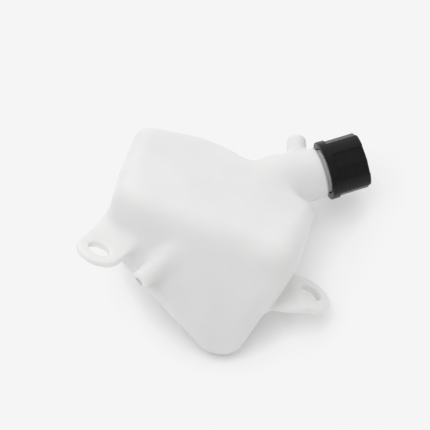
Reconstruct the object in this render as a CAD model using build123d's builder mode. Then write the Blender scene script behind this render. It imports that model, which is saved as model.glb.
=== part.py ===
from build123d import *
from math import cos, radians, sin
import os

os.makedirs("parts", exist_ok=True)

# The tank lies on its base wall. The origin is on the floor under the middle of the body,
# +X runs along the filler neck towards the cap, and +Z is up. All lengths are in millimetres.

# Body: the way that each wall faces, as the heading and the lean of its outward normal in degrees,
# and its reach from the middle of the body
middle_height = 35.0
upper_facing = (22.0, 70.7)
upper_reach = 26.9
front_facing = (-120.8, 37.8)
front_reach = 32.1
front_left_facing = (-156.0, 34.5)
front_left_reach = 47.4
front_right_facing = (-87.4, 18.1)
front_right_reach = 50.6
right_facing = (-41.9, -24.6)
right_reach = 47.8
back_right_facing = (32.0, 3.4)
back_right_reach = 50.6
back_middle_facing = (47.5, 5.5)
back_middle_reach = 54.6
back_left_facing = (63.0, 7.3)
back_left_reach = 58.9
left_facing = (144.9, 1.6)
left_reach = 52.5
under_facing = (-178.1, -39.7)
under_reach = 35.8
corner_radius = 9.0
wall_thickness = 2.2

# Filler neck, along +X. Its height, and every place below, is measured from the middle of the body.
neck_y = 21.1
neck_height = -5.0
neck_root_x = 36.0
neck_flare_length = 26.0
neck_flare_rise = 3.8
neck_shoulder_x = 76.6
neck_shoulder_step = 2.0
neck_mouth_length = 20.1
thread_radius = 12.2
rim_edge = 0.8

# Breather nipple, on the far side of the neck, with a foot that spreads where it meets the neck
breather_setback = 14.6
breather_heading = 69.7
breather_lean = 4.0
breather_reach = 13.3
breather_foot_length = 3.4
breather_foot_spread = 3.4
breather_radius = 5.6
breather_bore_radius = 2.8
breather_lip = 2.2

# Hose nipple, low on the front wall, which tapers out towards its foot
hose_place = (-32.3, -16.8, 12.4)
hose_heading = -156.4
hose_lean = -6.7
hose_length = 17.2
hose_seat_length = 5.4
hose_sunk = 9.5
hose_foot_spread = 0.8
hose_radius = 5.4
hose_bore_radius = 2.5
hose_lip = 2.4

# Mounting ears: pinched out of the seam of the mould, each a flat round end with a hole and a web
# that turns to meet the body along its root, which runs between two points inside the wall
ear_radius = 13.2
ear_hole_radius = 6.2
ear_hole_land = 2.4
ear_thickness = 4.2
ear_edge = 1.2
left_ear_place = (-64.7, -5.4, 23.5)
left_ear_facing = (26.3, 61.2)
left_ear_root = ((-25.0, 10.8, 8.0), (-40.3, 29.5, 8.0))
right_ear_place = (44.9, -45.4, -19.0)
right_ear_facing = (12.1, 50.1)
right_ear_root = ((28.1, -35.8, -10.2), (15.3, -48.0, -14.2))

# Screw cap, with its soft seal inside the top
cap_gap = 1.6
cap_wall = 2.6
cap_top_thickness = 2.0
cap_flange_rise = 0.9
cap_flange_width = 4.2
cap_land_width = 8.8
cap_land_angle = 80.5
cap_land_count = 4
cap_flat_count = 12
cap_edge = 0.7
thread_clearance = 0.9
seal_thickness = 1.6
seal_clearance = 0.3


def direction(heading, lean):
    """The unit vector at a heading round +Z and a lean above the floor."""
    level = cos(radians(lean))
    return Vector(level * cos(radians(heading)), level * sin(radians(heading)), sin(radians(lean)))


body_middle = Vector(0, 0, middle_height)
body_walls = [
    (direction(*upper_facing), upper_reach),
    (direction(*front_facing), front_reach),
    (direction(*front_left_facing), front_left_reach),
    (direction(*front_right_facing), front_right_reach),
    (direction(*right_facing), right_reach),
    (direction(*back_right_facing), back_right_reach),
    (direction(*back_middle_facing), back_middle_reach),
    (direction(*back_left_facing), back_left_reach),
    (direction(*left_facing), left_reach),
    (direction(*under_facing), under_reach),
    (Vector(0, 0, -1), middle_height),
]
block_size = 4 * max(reach for outward, reach in body_walls)

neck_radius = thread_radius + neck_shoulder_step
neck_root_radius = neck_radius + neck_flare_rise
neck_flare_end_x = neck_root_x + neck_flare_length
neck_rim_x = neck_shoulder_x + neck_mouth_length
neck_origin = body_middle + Vector(0, neck_y, neck_height)
neck_axis = Axis(neck_origin, (1, 0, 0))
neck_plane = Plane(origin=neck_origin, x_dir=(1, 0, 0), z_dir=(0, -1, 0))

breather_origin = neck_origin + Vector(neck_shoulder_x - breather_setback, 0, 0)
breather_along = direction(breather_heading, breather_lean)
breather_start = neck_radius - 2 * wall_thickness
breather_seat = neck_radius + breather_foot_length
breather_end = neck_radius + breather_reach

hose_origin = body_middle + Vector(*hose_place)
hose_along = direction(hose_heading, hose_lean)
hose_seat = hose_length - hose_lip - hose_seat_length

cap_start_x = neck_shoulder_x + cap_gap
seal_start_x = neck_rim_x + seal_clearance
cap_end_x = seal_start_x + seal_thickness + cap_top_thickness
cap_length = cap_end_x - cap_start_x
cap_bore_radius = thread_radius + thread_clearance
cap_body_radius = cap_bore_radius + cap_wall
cap_flange_radius = cap_body_radius + cap_flange_rise
cap_plane = Plane(origin=neck_origin + Vector(cap_start_x, 0, 0), x_dir=(0, 1, 0), z_dir=(1, 0, 0))


def body_form(inset):
    """The closed body with rounded edges, with every wall moved in by inset."""
    with BuildPart() as form:
        with Locations(body_middle):
            Box(block_size, block_size, block_size)
        for outward, reach in body_walls:
            core_face = Plane(origin=body_middle + outward * (reach - corner_radius), z_dir=outward)
            split(bisect_by=core_face, keep=Keep.BOTTOM)
        offset(amount=corner_radius - inset, kind=Kind.ARC)
    return form.part


def neck_form(inset):
    """The filled neck from its flare in the body to its rim, with its surface moved in by inset."""
    with BuildPart() as form:
        with BuildSketch(neck_plane):
            with BuildLine():
                flare = TangentArc(
                    (neck_flare_end_x, neck_radius - inset),
                    (neck_root_x, neck_root_radius - inset),
                    tangent=(-1, 0),
                )
                Polyline(
                    flare @ 0,
                    (neck_shoulder_x - inset, neck_radius - inset),
                    (neck_shoulder_x, thread_radius - inset),
                    (neck_rim_x, thread_radius - inset),
                    (neck_rim_x, 0),
                    (neck_root_x, 0),
                    flare @ 1,
                )
            make_face()
        revolve(axis=neck_axis)
    return form.part


def nipple(origin, along, stations, radius, spread, lip):
    """The outside of a hose nipple: a foot that narrows to a round seat, with its end rounded."""
    start, seat, end = stations
    with BuildPart() as form:
        with BuildSketch(Plane(origin=origin, x_dir=along, z_dir=along.cross(Vector(0, 0, 1)))):
            Polygon(
                (start, 0), (start, radius + spread), (seat, radius), (end, radius), (end, 0), align=None
            )
        revolve(axis=Axis(origin, along))
        fillet(form.edges().filter_by(GeomType.CIRCLE).sort_by(Axis(origin, along))[-1], lip)
    return form.part


def bore(origin, along, start, end, radius):
    """A round rod along an axis, for cutting a bore from start to end."""
    with BuildPart() as form:
        with BuildSketch(Plane(origin=origin + along * start, z_dir=along)):
            Circle(radius)
        extrude(amount=end - start)
    return form.part


def ear_plate(place, facing, root):
    """One mounting ear: a flat round end, and a web that turns to lie along its root in the body."""
    centre = body_middle + Vector(*place)
    normal = direction(*facing)
    root_start = body_middle + Vector(*root[0])
    root_line = body_middle + Vector(*root[1]) - root_start
    root_middle = root_start + root_line / 2
    to_root = root_middle - centre
    along = (to_root - normal * to_root.dot(normal)).normalized()
    across = root_line.normalized()
    inward = (to_root - across * to_root.dot(across)).normalized()
    flat_end = centre + along * (ear_hole_radius + ear_hole_land)
    with BuildPart() as ear:
        with BuildSketch(Plane(origin=centre, z_dir=normal)):
            Circle(ear_radius)
        extrude(amount=ear_thickness / 2, both=True)
        chamfer(ear.edges(), ear_edge)
        split(bisect_by=Plane(origin=centre, z_dir=along), keep=Keep.BOTTOM)
        with BuildSketch(Plane(origin=centre, x_dir=normal, z_dir=along)) as flat_section:
            Rectangle(ear_thickness, 2 * ear_radius)
            chamfer(flat_section.vertices(), ear_edge)
        extrude(amount=ear_hole_radius + ear_hole_land)
        with BuildSketch(Plane(origin=flat_end, x_dir=normal, z_dir=along)) as web_section:
            Rectangle(ear_thickness, 2 * ear_radius)
            chamfer(web_section.vertices(), ear_edge)
        with BuildSketch(Plane(origin=root_middle, x_dir=across.cross(inward), z_dir=inward)) as root_section:
            Rectangle(ear_thickness, root_line.length)
            chamfer(root_section.vertices(), ear_edge)
        loft()
    return ear.part


with BuildPart() as tank:
    # Outside, with the shoulder and the rim of the neck softened
    add(neck_form(0))
    neck_ends = tank.edges().filter_by(GeomType.CIRCLE).sort_by(Axis.X)
    chamfer([neck_ends[-1]], rim_edge)
    add(body_form(0))
    add(nipple(breather_origin, breather_along, (breather_start, breather_seat, breather_end),
               breather_radius, breather_foot_spread, breather_lip))
    add(nipple(hose_origin, hose_along, (-hose_sunk, hose_seat, hose_length),
               hose_radius, hose_foot_spread, hose_lip))
    add(ear_plate(left_ear_place, left_ear_facing, left_ear_root))
    add(ear_plate(right_ear_place, right_ear_facing, right_ear_root))

    # Inside of the body and of the neck, one wall in from the outside
    add(body_form(wall_thickness), mode=Mode.SUBTRACT)
    add(neck_form(wall_thickness), mode=Mode.SUBTRACT)

    # Bores of the nipples, and the holes of the ears
    add(bore(breather_origin, breather_along, 0, breather_end, breather_bore_radius), mode=Mode.SUBTRACT)
    add(bore(hose_origin, hose_along, -hose_sunk, hose_length, hose_bore_radius), mode=Mode.SUBTRACT)
    for place, facing in ((left_ear_place, left_ear_facing), (right_ear_place, right_ear_facing)):
        hole = bore(
            body_middle + Vector(*place), direction(*facing), -ear_thickness, ear_thickness, ear_hole_radius
        )
        add(hole, mode=Mode.SUBTRACT)

tank.part.label = "tank"
export_step(tank.part, "parts/tank.step")

with BuildPart() as cap:
    # Flat-sided body with raised grip lands, and a round flange at the open end
    with BuildSketch(cap_plane):
        RegularPolygon(cap_body_radius, cap_flat_count, rotation=cap_land_angle + 180 / cap_flat_count)
        with PolarLocations(cap_flange_radius / 2, cap_land_count, start_angle=cap_land_angle):
            Rectangle(cap_flange_radius, cap_land_width)
        Circle(cap_flange_radius, mode=Mode.INTERSECT)
    extrude(amount=cap_length)
    chamfer(cap.faces().sort_by(Axis.X)[-1].edges(), cap_edge)
    with BuildSketch(cap_plane):
        Circle(cap_flange_radius)
    extrude(amount=cap_flange_width)
    with BuildSketch(cap_plane):
        Circle(cap_bore_radius)
    extrude(amount=cap_length - cap_top_thickness, mode=Mode.SUBTRACT)

cap.part.label = "cap"
export_step(cap.part, "parts/cap.step")

with BuildPart() as cap_seal:
    # Soft disc against the inside of the cap's top
    with BuildSketch(cap_plane.offset(seal_start_x - cap_start_x)):
        Circle(cap_bore_radius - seal_clearance)
    extrude(amount=seal_thickness)

cap_seal.part.label = "cap_seal"
export_step(cap_seal.part, "parts/cap_seal.step")
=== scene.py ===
from itertools import combinations
from math import cos, pi, radians, sin

import bmesh
import bpy
import numpy as np
import openvdb
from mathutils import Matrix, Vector


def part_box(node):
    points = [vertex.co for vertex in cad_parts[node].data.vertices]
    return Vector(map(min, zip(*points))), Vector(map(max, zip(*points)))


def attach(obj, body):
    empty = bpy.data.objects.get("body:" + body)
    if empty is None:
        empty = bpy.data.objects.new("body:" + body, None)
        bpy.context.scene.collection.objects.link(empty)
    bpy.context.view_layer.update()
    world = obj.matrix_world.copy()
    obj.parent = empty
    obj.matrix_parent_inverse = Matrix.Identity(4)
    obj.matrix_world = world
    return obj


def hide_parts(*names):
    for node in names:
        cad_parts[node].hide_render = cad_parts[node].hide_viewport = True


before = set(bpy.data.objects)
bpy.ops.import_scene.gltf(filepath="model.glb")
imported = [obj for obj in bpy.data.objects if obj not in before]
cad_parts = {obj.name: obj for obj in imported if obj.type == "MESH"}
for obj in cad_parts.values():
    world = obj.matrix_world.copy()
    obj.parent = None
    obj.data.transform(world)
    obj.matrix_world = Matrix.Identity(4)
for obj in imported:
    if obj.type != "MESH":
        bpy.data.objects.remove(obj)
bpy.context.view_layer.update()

# The forms are worked out in millimetres, as on the part's drawing, and the meshes are in metres
MM = 0.001

# Heading of the picture's right side, in degrees
picture_heading = -20.3

# Body: each wall's heading and lean in degrees, and its reach from the middle of the body
middle = np.array([0.0, 0.0, 35.0])
walls = {
    "upper": (22.0, 70.7, 26.9),
    "front": (-120.8, 37.8, 32.1),
    "front_left": (-156.0, 34.5, 47.4),
    "front_right": (-87.4, 18.1, 50.6),
    "right": (-41.9, -24.6, 47.8),
    "back_right": (32.0, 3.4, 50.6),
    "back_middle": (47.5, 5.5, 54.6),
    "back_left": (63.0, 7.3, 58.9),
    "left": (144.9, 1.6, 53.1),
    "under": (-178.1, -39.7, 37.2),
    "base": (0.0, -90.0, 35.0),
}
corner_radius = 9.0
wall_thickness = 2.2

# Filler neck
neck_y, neck_z = 21.1, 30.0
neck_root_x, neck_flare_end_x, neck_shoulder_x, neck_rim_x = 36.0, 62.0, 76.6, 96.7
neck_foot_full_x, neck_foot_end_x = 52.0, 70.0
neck_radius, neck_foot_rise, neck_flare_rise, thread_radius = 14.2, 2.6, 1.2, 12.2
neck_blend, neck_start_softness, neck_rim_edge = 8.0, 14.0, 0.9
flare_limit = 1.6
shoulder_before, shoulder_after = 0.9, 0.5

# Nipples: place on the axis, heading and lean, then where the foot starts and where the seat starts and ends
breather_place = np.array([62.0, neck_y, neck_z])
breather_facing = (69.7, 4.0)
breather_start, breather_seat, breather_end = 9.8, 17.6, 27.5
breather_radius, breather_foot_rise, breather_bore = 5.6, 2.6, 2.8
breather_edge, breather_blend = 3.6, 4.0
hose_place = np.array([-32.3, -16.8, 47.4])
hose_facing = (-156.4, -6.7)
hose_start, hose_seat, hose_end = -9.5, 9.4, 17.2
hose_radius, hose_foot_rise, hose_bore = 5.4, 0.8, 2.5
hose_edge, hose_blend = 3.0, 5.5
nipple_root_edge, bore_edge, bore_overrun = 1.0, 0.8, 2

# Ears: hole, facing of the flat round end, the root inside the wall, how much fuller the web is on its
# lower side, and the blend with the wall
ear_radius, ear_hole, ear_land, ear_thickness = 13.2, 6.2, 2.4, 4.2
ear_rim, ear_hole_edge, ear_hole_reach = 1.9, 0.4, 8
web_swells_from, web_full_from, web_full_to, web_thins_to = -10, 6, 12, 24
bend_softness = 0.012
ears = {
    "left": ((-64.7, -5.4, 58.5), (26.3, 61.2), ((-25.0, 10.8, 43.0), (-40.3, 29.5, 43.0)), 0.0, 8.0),
    "right": ((44.9, -45.4, 16.0), (12.1, 50.1), ((28.1, -35.8, 24.8), (15.3, -48.0, 20.8)), 4.3, 4.0),
}

# Upper ridge of the body from end to end, and the foot of the corner at its right end
ridge_left, ridge_right, corner_foot = (-40.3, 16.9, 64.8), (31.4, -37.4, 48.7), (26.0, -44.0, 36.0)
body_softness, ridge_softness, corner_fill = 2.4, 7.0, 2.4
hollow_edge = 0.7

# Screw thread on the neck and in the cap, and its profile: place across the ridge and rise, as shares of its
# width and height; a rise below nothing is sunk in the wall by that many millimetres
thread_pitch, thread_height, thread_width = 4.0, 0.8, 1.9
thread_start_x, thread_end_x = 81.0, 93.0
thread_profile = ((-0.5, -0.3), (-0.46, 0.0), (-0.2, 0.86), (0, 1.0), (0.2, 0.86), (0.46, 0.0), (0.5, -0.3))
thread_stations_a_turn, thread_run_out = 56, 5
cap_thread_start_shift, cap_thread_end_shift = 1.7, 0.3
cap_bore_radius = 13.1

# Grid of the tank's field, and the most triangles that its skin keeps
grid_step, grid_margin = 0.8, 4
field_limit = 5.0
triangle_limit = 150000


def direction(heading, lean):
    """The unit vector at a heading round +Z and a lean above the floor."""
    h, l = radians(heading), radians(lean)
    return np.array([cos(l) * cos(h), cos(l) * sin(h), sin(l)])


def unit(v):
    return v / np.linalg.norm(v)


def smooth_max(a, b, soft):
    """The larger of two fields, with the crease between them rounded over a width."""
    gap = np.maximum(soft - np.abs(a - b), 0) / soft
    return np.maximum(a, b) + gap * gap * soft / 4


def smooth_min(a, b, soft):
    return -smooth_max(-a, -b, soft)


def ramp(v, low, high):
    """0 below low, 1 above high, and smooth between them."""
    t = np.clip((v - low) / (high - low), 0, 1)
    return t * t * (3 - 2 * t)


# Grid of points that holds the whole tank, with a margin
low = np.array([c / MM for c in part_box("tank")[0]]) - grid_margin
high = np.array([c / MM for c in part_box("tank")[1]]) + grid_margin
steps = [np.arange(a, b, grid_step, dtype=np.float32) for a, b in zip(low, high)]
X, Y, Z = np.meshgrid(*steps, indexing="ij")


def along(n, origin=(0, 0, 0)):
    """Distance of every grid point from an origin along a unit vector."""
    n = np.asarray(n, np.float32)
    o = np.asarray(origin, np.float32)
    return (X - o[0]) * n[0] + (Y - o[1]) * n[1] + (Z - o[2]) * n[2]


def core_corners(planes):
    """Corners of the convex core, each with the walls that meet there."""
    corners = []
    for trio in combinations(range(len(planes)), 3):
        normals = np.array([planes[i][0] for i in trio])
        reaches = np.array([planes[i][1] for i in trio])
        if abs(np.linalg.det(normals)) < 1e-4:
            continue
        corner = np.linalg.solve(normals, reaches)
        if all(n @ corner <= r + 1e-6 for n, r in planes):
            corners.append((corner, set(trio)))
    return corners


def body_distance():
    """Signed distance from the rounded body: exact distance from its core, less the corner radius."""
    planes = [(direction(h, l), reach - corner_radius) for h, l, reach in walls.values()]
    heights = np.stack([along(n, middle) - r for n, r in planes])
    distance = heights.max(0)
    outside = (distance > 0) & (distance < 3 * corner_radius)
    points = np.stack([X[outside], Y[outside], Z[outside]], 1) - middle
    nearest = np.full(len(points), 1e9)
    for i, (n, r) in enumerate(planes):
        foot = points - (points @ n - r)[:, None] * n
        over_face = np.all([foot @ m <= q + 1e-6 for m, q in planes], axis=0)
        nearest[over_face] = np.minimum(nearest[over_face], np.abs(points[over_face] @ n - r))
    for (a, walls_a), (b, walls_b) in combinations(core_corners(planes), 2):
        if len(walls_a & walls_b) < 2:
            continue
        t = np.clip((points - a) @ (b - a) / ((b - a) @ (b - a)), 0, 1)
        nearest = np.minimum(nearest, np.linalg.norm(points - a - t[:, None] * (b - a), axis=1))
    distance[outside] = nearest
    return distance - corner_radius


def blurred(field, radius):
    """A field averaged with its neighbours, which softens the creases of the form."""
    reach = max(int(round(2 * radius / grid_step)), 1)
    weights = np.exp(-0.5 * (np.arange(-reach, reach + 1) * grid_step / radius) ** 2)
    weights /= weights.sum()
    for axis in range(3):
        padded = np.pad(field, [(reach, reach) if a == axis else (0, 0) for a in range(3)], mode="edge")
        size = field.shape[axis]
        field = sum(w * padded.take(range(i, i + size), axis) for i, w in enumerate(weights))
    return field


def turned(profile, place, axis):
    """Distance from a form turned about an axis; profile gives the radius at each place along it."""
    s = along(axis, place)
    square = (X - place[0]) ** 2 + (Y - place[1]) ** 2 + (Z - place[2]) ** 2 - s * s
    return np.sqrt(np.maximum(square, 0)) - profile(s), s


def neck_profile(s):
    """Radius of the neck along X: a flare out of the body, a fuller foot, a plain stretch, and the mouth."""
    flare_share = (neck_flare_end_x - s) / (neck_flare_end_x - neck_root_x)
    flare = neck_flare_rise * np.clip(flare_share, 0, flare_limit) ** 2
    foot = neck_foot_rise * ramp(-s, -neck_foot_end_x, -neck_foot_full_x)
    mouth_share = ramp(s, neck_shoulder_x - shoulder_before, neck_shoulder_x + shoulder_after)
    mouth = (neck_radius - thread_radius) * mouth_share
    return neck_radius + foot + flare - mouth


def nipple(place, facing, start, seat, end, radius, spread, soft_end):
    """A nipple whose foot spreads towards the wall that carries it."""
    distance, s = turned(lambda s: radius + spread * ramp(-s, -seat, -start), place, direction(*facing))
    return smooth_max(smooth_max(distance, s - end, soft_end), start - s, nipple_root_edge)


def ear(hole, facing, root, fullness):
    """A flat round end, and a web that turns to lie along its root in the body, fuller on one side."""
    hole = np.array(hole)
    normal = direction(*facing)
    start, end = np.array(root[0]), np.array(root[1])
    to_root = (start + end) / 2 - hole
    u_axis = unit(to_root - normal * (to_root @ normal))
    v_axis = np.cross(normal, u_axis)
    u, v, w = along(u_axis, hole), along(v_axis, hole), along(normal, hole)
    ends = sorted([[(p - hole) @ axis for axis in (v_axis, u_axis, normal)] for p in (start, end)])
    (v0, u0, w0), (v1, u1, w1) = ends
    flat = ear_hole + ear_land
    # The place along the slanting root settles in a few rounds
    share = 0.5
    for _ in range(4):
        root_u = u0 + (u1 - u0) * share
        turn = np.clip((u - flat) / (root_u - flat), -1, 1.2)
        edge_low = -ear_radius + (v0 + ear_radius) * np.maximum(turn, 0)
        edge_high = ear_radius + (v1 - ear_radius) * np.maximum(turn, 0)
        share = np.clip((v - edge_low) / (edge_high - edge_low), -0.3, 1.3)
    bend = (turn + np.sqrt(turn * turn + bend_softness)) / 2
    root_w = w0 + (w1 - w0) * share
    slope = root_w / (root_u - flat) * ramp(turn, -0.1, 0.2)
    full = fullness * ramp(u, web_swells_from, web_full_from) * (1 - ramp(u, web_full_to, web_thins_to))
    side = np.where(v > 0, v * ear_radius / (ear_radius + full), v)
    outline = np.where(u > 0, np.maximum(edge_low - side, side - edge_high), np.hypot(u, side) - ear_radius)
    outline = np.maximum(outline, u - root_u)
    thick = np.abs(w - root_w * bend) / np.sqrt(1 + slope * slope) - ear_thickness / 2 + ear_rim
    across = outline + ear_rim
    beyond = np.hypot(np.maximum(across, 0), np.maximum(thick, 0))
    plate = np.minimum(np.maximum(across, thick), 0) + beyond - ear_rim
    hole_wall = ear_hole - np.sqrt(u * u + v * v)
    far_away = -50
    return plate, np.where(np.abs(w) < ear_hole_reach, hole_wall, far_away)


def near_line(start, end, close, far):
    """1 close to a line between two points, and 0 far from it."""
    start, end = np.array(start), np.array(end)
    length = np.linalg.norm(end - start)
    s = np.clip(along((end - start) / length, start), 0, length) / length
    foot = [a + (b - a) * s for a, b in zip(start, end)]
    return 1 - ramp(np.sqrt((X - foot[0]) ** 2 + (Y - foot[1]) ** 2 + (Z - foot[2]) ** 2), close, far)


# Outside: the body, with its upper ridge softer towards the right, then the neck, nipples and ears
body = body_distance()
soft_body = blurred(body, body_softness)
ridge_share = near_line(ridge_left, ridge_right, close=12, far=25)
rightward = along(direction(picture_heading, 0), middle)
ridge_share = ridge_share * (0.45 + 0.55 * ramp(rightward, -30, 25) + 0.2 * ramp(-rightward, 22, 44))
body = soft_body + ridge_share * (blurred(body, ridge_softness) - soft_body)
# The softened corner stands as far out at the right as the walls that meet there
corner_share = near_line(ridge_right, corner_foot, close=10, far=30)
body = body - corner_fill * corner_share * ramp(rightward, 26, 48)
neck, neck_s = turned(neck_profile, np.array([0, neck_y, neck_z]), np.array([1.0, 0, 0]))
filled_neck = smooth_max(neck, neck_root_x - neck_s, neck_start_softness)
shell = smooth_min(body, smooth_max(filled_neck, neck_s - neck_rim_x, neck_rim_edge), neck_blend)
breather = nipple(
    breather_place, breather_facing, breather_start, breather_seat, breather_end,
    breather_radius, breather_foot_rise, breather_edge)
shell = smooth_min(shell, breather, breather_blend)
hose = nipple(
    hose_place, hose_facing, hose_start, hose_seat, hose_end,
    hose_radius, hose_foot_rise, hose_edge)
shell = smooth_min(shell, hose, hose_blend)
for hole, facing, root, fullness, blend in ears.values():
    plate, hole_wall = ear(hole, facing, root, fullness)
    shell = smooth_max(smooth_min(shell, plate, blend), hole_wall, ear_hole_edge)

# Inside: one wall in from the body and the neck, open through the neck and the nipples
hollow = smooth_min(body, filled_neck, neck_blend) + wall_thickness
shell = smooth_max(shell, -hollow, hollow_edge)
for place, facing, start, end, radius in (
    (breather_place, breather_facing, 0, breather_end, breather_bore),
    (hose_place, hose_facing, hose_start, hose_end, hose_bore),
):
    bore, s = turned(lambda s: radius, place, direction(*facing))
    past_ends = np.maximum(start - s, s - end - bore_overrun)
    shell = smooth_max(shell, -np.maximum(bore, past_ends), bore_edge)

# The flat of the base wall, on the floor
shell = np.maximum(shell, -Z)


def sampled(fields, points):
    """Values of grid fields at any points, from the eight grid points around each."""
    place = (points - low) / grid_step
    cell = np.clip(place.astype(int), 0, np.array(shell.shape) - 2)
    t = place - cell
    out = [np.zeros(len(points)) for _ in fields]
    for corner in np.ndindex(2, 2, 2):
        weight = np.prod(np.where(corner, t, 1 - t), axis=1)
        index = tuple((cell + corner).T)
        for value, field in zip(out, fields):
            value += weight * field[index]
    return out


def add_mesh(name, points, faces, body_name):
    """A mesh object in metres from points in millimetres, riding on a body."""
    mesh = bpy.data.meshes.new(name)
    mesh.from_pydata((np.asarray(points) * MM).tolist(), [], [list(map(int, f)) for f in faces])
    mesh.update()
    obj = bpy.data.objects.new(name, mesh)
    bpy.context.scene.collection.objects.link(obj)
    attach(obj, body_name)
    return obj


def applied(obj):
    """The object's modifiers, worked into its mesh."""
    graph = bpy.context.evaluated_depsgraph_get()
    mesh = bpy.data.meshes.new_from_object(obj.evaluated_get(graph))
    obj.modifiers.clear()
    obj.data = mesh
    return obj


# Skin of the tank from the field, thinned out where it is flat
grid = openvdb.FloatGrid(field_limit)
grid.copyFromArray(np.ascontiguousarray(np.clip(shell, -field_limit, field_limit), dtype=np.float32))
skin_points, skin_faces = grid.convertToQuads(0)
skin_points = skin_points * grid_step + low
tank_shell = add_mesh("tank_shell", skin_points, skin_faces, "tank")
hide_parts("tank")
triangles = 2 * len(skin_faces)
thin = tank_shell.modifiers.new("thin", "DECIMATE")
thin.ratio = min(1.0, triangle_limit / triangles)
applied(tank_shell)

# Points brought back onto the field's surface, and normals taken from the field's slope
longest_move, least_slope_square = 0.3, 0.2
slopes = np.gradient(shell, grid_step)
places = np.empty(len(tank_shell.data.vertices) * 3)
tank_shell.data.vertices.foreach_get("co", places)
points = places.reshape(-1, 3) / MM
for _ in range(2):
    value, *slope = sampled([shell, *slopes], points)
    slope = np.stack(slope, 1)
    move = np.clip(value, -longest_move, longest_move)
    steepness = np.maximum((slope ** 2).sum(1), least_slope_square)
    points = points - move[:, None] * slope / steepness[:, None]
points[:, 2] = np.maximum(points[:, 2], 0)
tank_shell.data.vertices.foreach_set("co", (points * MM).ravel())
tank_shell.data.update()
slope = np.stack(sampled(slopes, points), 1)
slope /= np.maximum(np.linalg.norm(slope, axis=1, keepdims=True), 1e-6)
tank_shell.data.polygons.foreach_set("use_smooth", [True] * len(tank_shell.data.polygons))
tank_shell.data.normals_split_custom_set_from_vertices(slope.tolist())


def ridge(name, radius, outward, start_x, end_x, body_name):
    """A screw thread's ridge, swept round the neck's axis, with ends that run out."""
    turns = (end_x - start_x) / thread_pitch
    stations = int(turns * thread_stations_a_turn)
    around = len(thread_profile)
    points, faces = [], []
    for i in range(stations + 1):
        share = i / stations
        angle = 2 * pi * turns * share
        height = thread_height * min(1, share * turns * thread_run_out, (1 - share) * turns * thread_run_out)
        x = start_x + thread_pitch * turns * share
        for dx, rise in thread_profile:
            r = radius + outward * (height * rise if rise > 0 else rise)
            points.append((x + dx * thread_width, neck_y + r * cos(angle), neck_z + r * sin(angle)))
    for i in range(stations):
        for k in range(around):
            a, b = i * around + k, i * around + (k + 1) % around
            quad = (a, b, b + around, a + around)
            faces.append(quad if outward > 0 else quad[::-1])
    first_end = range(around)
    last_end = range(stations * around, (stations + 1) * around)
    faces.append(first_end[::-1] if outward > 0 else first_end)
    faces.append(last_end if outward > 0 else last_end[::-1])
    obj = add_mesh(name, points, faces, body_name)
    obj.data.polygons.foreach_set("use_smooth", [True] * len(obj.data.polygons))
    obj.data.set_sharp_from_angle(angle=radians(50))
    return obj


neck_thread = ridge("neck_thread", thread_radius, 1, thread_start_x, thread_end_x, "tank")
cap_thread = ridge(
    "cap_thread", cap_bore_radius, -1,
    thread_start_x + cap_thread_start_shift, thread_end_x - cap_thread_end_shift, "cap")


weld_distance = 2e-6
flat_angle, smooth_angle = radians(0.6), radians(34)


def softened(name, node, body_name, width, angle):
    """A copy of a rigid piece with its flat faces cleaned and its edges rounded, in its place."""
    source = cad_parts[node]
    work = bmesh.new()
    work.from_mesh(source.data)
    bmesh.ops.remove_doubles(work, verts=work.verts, dist=weld_distance)
    bmesh.ops.dissolve_limit(work, angle_limit=flat_angle, verts=work.verts, edges=work.edges)
    mesh = bpy.data.meshes.new(name)
    work.to_mesh(mesh)
    work.free()
    obj = bpy.data.objects.new(name, mesh)
    bpy.context.scene.collection.objects.link(obj)
    edge = obj.modifiers.new("edges", "BEVEL")
    edge.width = width * MM
    edge.segments = 3
    edge.limit_method = "ANGLE"
    edge.angle_limit = radians(angle)
    edge.use_clamp_overlap = True
    applied(obj)
    obj.data.polygons.foreach_set("use_smooth", [True] * len(obj.data.polygons))
    obj.data.set_sharp_from_angle(angle=smooth_angle)
    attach(obj, body_name)
    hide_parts(node)
    return obj


cap_shell = softened("cap_shell", "cap", "cap", width=0.35, angle=20)


def new_material(name):
    """An empty node material with a surface shader, its nodes and its links."""
    material = bpy.data.materials.new(name)
    material.use_nodes = True
    nodes, links = material.node_tree.nodes, material.node_tree.links
    shader = nodes["Principled BSDF"]
    return material, nodes, links, shader


def noise(nodes, links, scale, detail, roughness=0.55):
    """A noise pattern in the object's own space; scale is in cells a metre."""
    place = nodes.new("ShaderNodeTexCoord")
    pattern = nodes.new("ShaderNodeTexNoise")
    pattern.inputs["Scale"].default_value = scale
    pattern.inputs["Detail"].default_value = detail
    pattern.inputs["Roughness"].default_value = roughness
    links.new(place.outputs["Object"], pattern.inputs["Vector"])
    return pattern.outputs["Fac"]


def spread(nodes, links, source, low_value, high_value):
    """The source's middle range spread between two values."""
    span = nodes.new("ShaderNodeMapRange")
    span.inputs["From Min"].default_value = 0.3
    span.inputs["From Max"].default_value = 0.7
    span.inputs["To Min"].default_value = low_value
    span.inputs["To Max"].default_value = high_value
    links.new(source, span.inputs["Value"])
    return span.outputs["Result"]


# Numbers of the colour mix node's sockets
mix_share, mix_first, mix_second, mix_result = 0, 6, 7, 2


def tinted(nodes, links, shader, pattern, first, second):
    """A base colour that a pattern mixes from two tints."""
    tint = nodes.new("ShaderNodeMix")
    tint.data_type = "RGBA"
    tint.inputs[mix_first].default_value = (*first, 1)
    tint.inputs[mix_second].default_value = (*second, 1)
    links.new(spread(nodes, links, pattern, 0, 1), tint.inputs[mix_share])
    links.new(tint.outputs[mix_result], shader.inputs["Base Color"])


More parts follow.
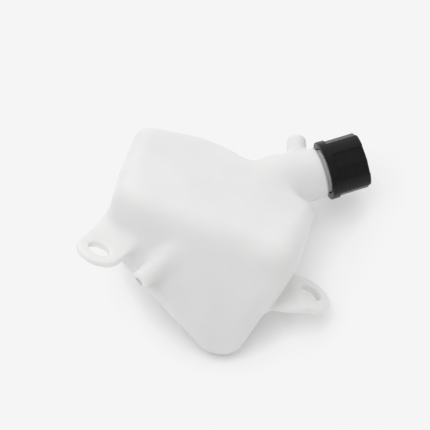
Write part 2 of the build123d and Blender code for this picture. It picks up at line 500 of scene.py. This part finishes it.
def bump(nodes, links, shader, height, strength, distance, under=None):
    """Fine relief in the surface's shading, over any relief under it."""
    relief = nodes.new("ShaderNodeBump")
    relief.inputs["Strength"].default_value = strength
    relief.inputs["Distance"].default_value = distance
    links.new(height, relief.inputs["Height"])
    if under is not None:
        links.new(under, relief.inputs["Normal"])
    links.new(relief.outputs["Normal"], shader.inputs["Normal"])
    return relief.outputs["Normal"]


def tank_plastic():
    """Natural white polyethylene: milky, faintly waxy, with a fine mould grain and slow unevenness."""
    material, nodes, links, shader = new_material("tank_plastic_look")
    shader.subsurface_method = "RANDOM_WALK"
    shader.inputs["Subsurface Weight"].default_value = 0.35
    shader.inputs["Subsurface Radius"].default_value = (1.0, 0.95, 0.86)
    shader.inputs["Subsurface Scale"].default_value = 0.004
    shader.inputs["IOR"].default_value = 1.5
    shader.inputs["Specular IOR Level"].default_value = 0.4
    cloud = noise(nodes, links, scale=34, detail=3)
    tinted(nodes, links, shader, cloud, (0.764, 0.763, 0.758), (0.80, 0.799, 0.795))
    wear = noise(nodes, links, scale=120, detail=4)
    links.new(spread(nodes, links, wear, 0.36, 0.48), shader.inputs["Roughness"])
    unevenness = noise(nodes, links, scale=55, detail=2)
    slow = bump(nodes, links, shader, unevenness, strength=0.10, distance=0.002)
    grain = noise(nodes, links, scale=2600, detail=3)
    bump(nodes, links, shader, grain, strength=0.10, distance=0.0002, under=slow)
    return material


def cap_plastic():
    """Black moulded plastic, satin, with a fine grain."""
    material, nodes, links, shader = new_material("cap_plastic_look")
    shader.inputs["IOR"].default_value = 1.5
    shader.inputs["Specular IOR Level"].default_value = 0.17
    cloud = noise(nodes, links, scale=300, detail=4)
    tinted(nodes, links, shader, cloud, (0.0035, 0.0035, 0.004), (0.006, 0.006, 0.0065))
    wear = noise(nodes, links, scale=240, detail=4)
    links.new(spread(nodes, links, wear, 0.24, 0.34), shader.inputs["Roughness"])
    grain = noise(nodes, links, scale=2200, detail=3)
    bump(nodes, links, shader, grain, strength=0.12, distance=0.0002)
    return material


def seal_rubber():
    """Matt black soft rubber with a fine grain."""
    material, nodes, links, shader = new_material("seal_rubber_look")
    cloud = noise(nodes, links, scale=400, detail=3)
    tinted(nodes, links, shader, cloud, (0.020, 0.020, 0.020), (0.035, 0.034, 0.033))
    wear = noise(nodes, links, scale=700, detail=2)
    links.new(spread(nodes, links, wear, 0.7, 0.85), shader.inputs["Roughness"])
    grain = noise(nodes, links, scale=3000, detail=2)
    bump(nodes, links, shader, grain, strength=0.2, distance=0.0002)
    return material


def paint(obj, material):
    obj.data.materials.clear()
    obj.data.materials.append(material)


white, black, rubber = tank_plastic(), cap_plastic(), seal_rubber()
for obj in (tank_shell, neck_thread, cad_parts["tank"]):
    paint(obj, white)
for obj in (cap_shell, cap_thread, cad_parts["cap"]):
    paint(obj, black)
paint(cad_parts["cap_seal"], rubber)

# Floor: white, faintly glowing, with a painted shadow that darkens its colour and glow where the tank is
# close to it
floor_half = 20.0
floor_white, floor_glow = 0.87, 0.20
# How far the floor's painted shadow reaches from the tank, and the share of colour and glow left at its
# darkest
painted_shadow_reach, painted_shadow_share = 0.022, 0.68
floor_corners = [(x * floor_half, y * floor_half, 0) for x, y in ((-1, -1), (1, -1), (1, 1), (-1, 1))]
floor_mesh = bpy.data.meshes.new("floor")
floor_mesh.from_pydata(floor_corners, [], [(0, 1, 2, 3)])
floor = bpy.data.objects.new("floor", floor_mesh)
bpy.context.scene.collection.objects.link(floor)
floor_look, floor_nodes, floor_links, floor_shader = new_material("floor_look")
floor_shader.inputs["Emission Color"].default_value = (1.0, 1.0, 1.0, 1)
floor_shader.inputs["Roughness"].default_value = 0.9
# Painted shadow: an occlusion pattern darkens the floor's colour and glow near the tank
painted_shadow_occlusion = floor_nodes.new("ShaderNodeAmbientOcclusion")
painted_shadow_occlusion.inputs["Distance"].default_value = painted_shadow_reach
for socket, open_value in (("Base Color", floor_white), ("Emission Strength", floor_glow)):
    painted_shadow_value = floor_nodes.new("ShaderNodeMapRange")
    painted_shadow_value.inputs["To Min"].default_value = painted_shadow_share * open_value
    painted_shadow_value.inputs["To Max"].default_value = open_value
    floor_links.new(painted_shadow_occlusion.outputs["AO"], painted_shadow_value.inputs["Value"])
    floor_links.new(painted_shadow_value.outputs["Result"], floor_shader.inputs[socket])
floor_shader.inputs["Specular IOR Level"].default_value = 0.1
paint(floor, floor_look)

# Camera: a long lens at the photograph's angle, aimed at the middle of its picture
camera_azimuth, camera_elevation = radians(picture_heading), radians(55.0)
camera_distance, picture_width, sensor_width = 8.0, 0.23865, 36.0
aim = Vector((9.9, 10.8, 35.0)) * MM
back = Vector((
    sin(camera_azimuth) * cos(camera_elevation),
    -cos(camera_azimuth) * cos(camera_elevation),
    sin(camera_elevation),
))
camera_data = bpy.data.cameras.new("camera")
camera = bpy.data.objects.new("camera", camera_data)
bpy.context.scene.collection.objects.link(camera)
camera_data.sensor_width = sensor_width
camera_data.lens = sensor_width * camera_distance / picture_width
camera_data.clip_start, camera_data.clip_end = 0.1, 60.0
camera.location = aim + back * camera_distance
camera.rotation_mode = "QUATERNION"
camera.rotation_quaternion = (-back).to_track_quat("-Z", "Y")
bpy.context.scene.camera = camera


def panel(name, towards, distance, size, power):
    """A round lamp panel that faces the tank from one side."""
    data = bpy.data.lights.new(name, "AREA")
    data.shape = "DISK"
    data.size = size
    data.energy = power
    lamp = bpy.data.objects.new(name, data)
    bpy.context.scene.collection.objects.link(lamp)
    towards = Vector(towards).normalized()
    lamp.location = aim + towards * distance
    lamp.rotation_mode = "QUATERNION"
    lamp.rotation_quaternion = (-towards).to_track_quat("-Z", "Y")


# Soft studio light: a large panel from the upper left, and a white surround
panel("key_panel", towards=(-0.45, -0.15, 0.88), distance=0.60, size=0.40, power=0.68)

# Surround: how bright it is towards each side, brightest overhead and behind the tank
surround = (((0, 0, 1), 0.85), ((0, 1, 0), 0.97), ((0, -1, 0), 0.31), ((1, 0, 0), 0.22))
world = bpy.data.worlds.new("surround")
world.use_nodes = True
world_nodes, world_links = world.node_tree.nodes, world.node_tree.links
place = world_nodes.new("ShaderNodeTexCoord").outputs["Generated"]
total = None
for side, side_strength in surround:
    facing_side = world_nodes.new("ShaderNodeVectorMath")
    facing_side.operation = "DOT_PRODUCT"
    facing_side.inputs[1].default_value = side
    world_links.new(place, facing_side.inputs[0])
    share = world_nodes.new("ShaderNodeMapRange")
    share.inputs["To Max"].default_value = side_strength
    world_links.new(facing_side.outputs["Value"], share.inputs["Value"])
    if total is None:
        total = share.outputs["Result"]
        continue
    added = world_nodes.new("ShaderNodeMath")
    added.operation = "ADD"
    world_links.new(total, added.inputs[0])
    world_links.new(share.outputs["Result"], added.inputs[1])
    total = added.outputs["Value"]
world_links.new(total, world_nodes["Background"].inputs["Strength"])
world_nodes["Background"].inputs["Color"].default_value = (1.0, 1.0, 1.0, 1)
bpy.context.scene.world = world

# The picture's tones stay below paper white, and the palest shadows fade out, as in a catalogue picture
picture_white = 0.913
pale_shadow, pale_shadow_shown = 0.87, 0.865
view = bpy.context.scene.view_settings
view.view_transform = "Standard"
view.use_curve_mapping = True
view.curve_mapping.extend = "HORIZONTAL"
all_colours = 3
tones = view.curve_mapping.curves[all_colours]
tones.points[-1].location = (1.0, picture_white)
tones.points.new(pale_shadow, pale_shadow_shown)
for point in tones.points:
    point.handle_type = "VECTOR"
view.curve_mapping.update()

bpy.context.view_layer.update()
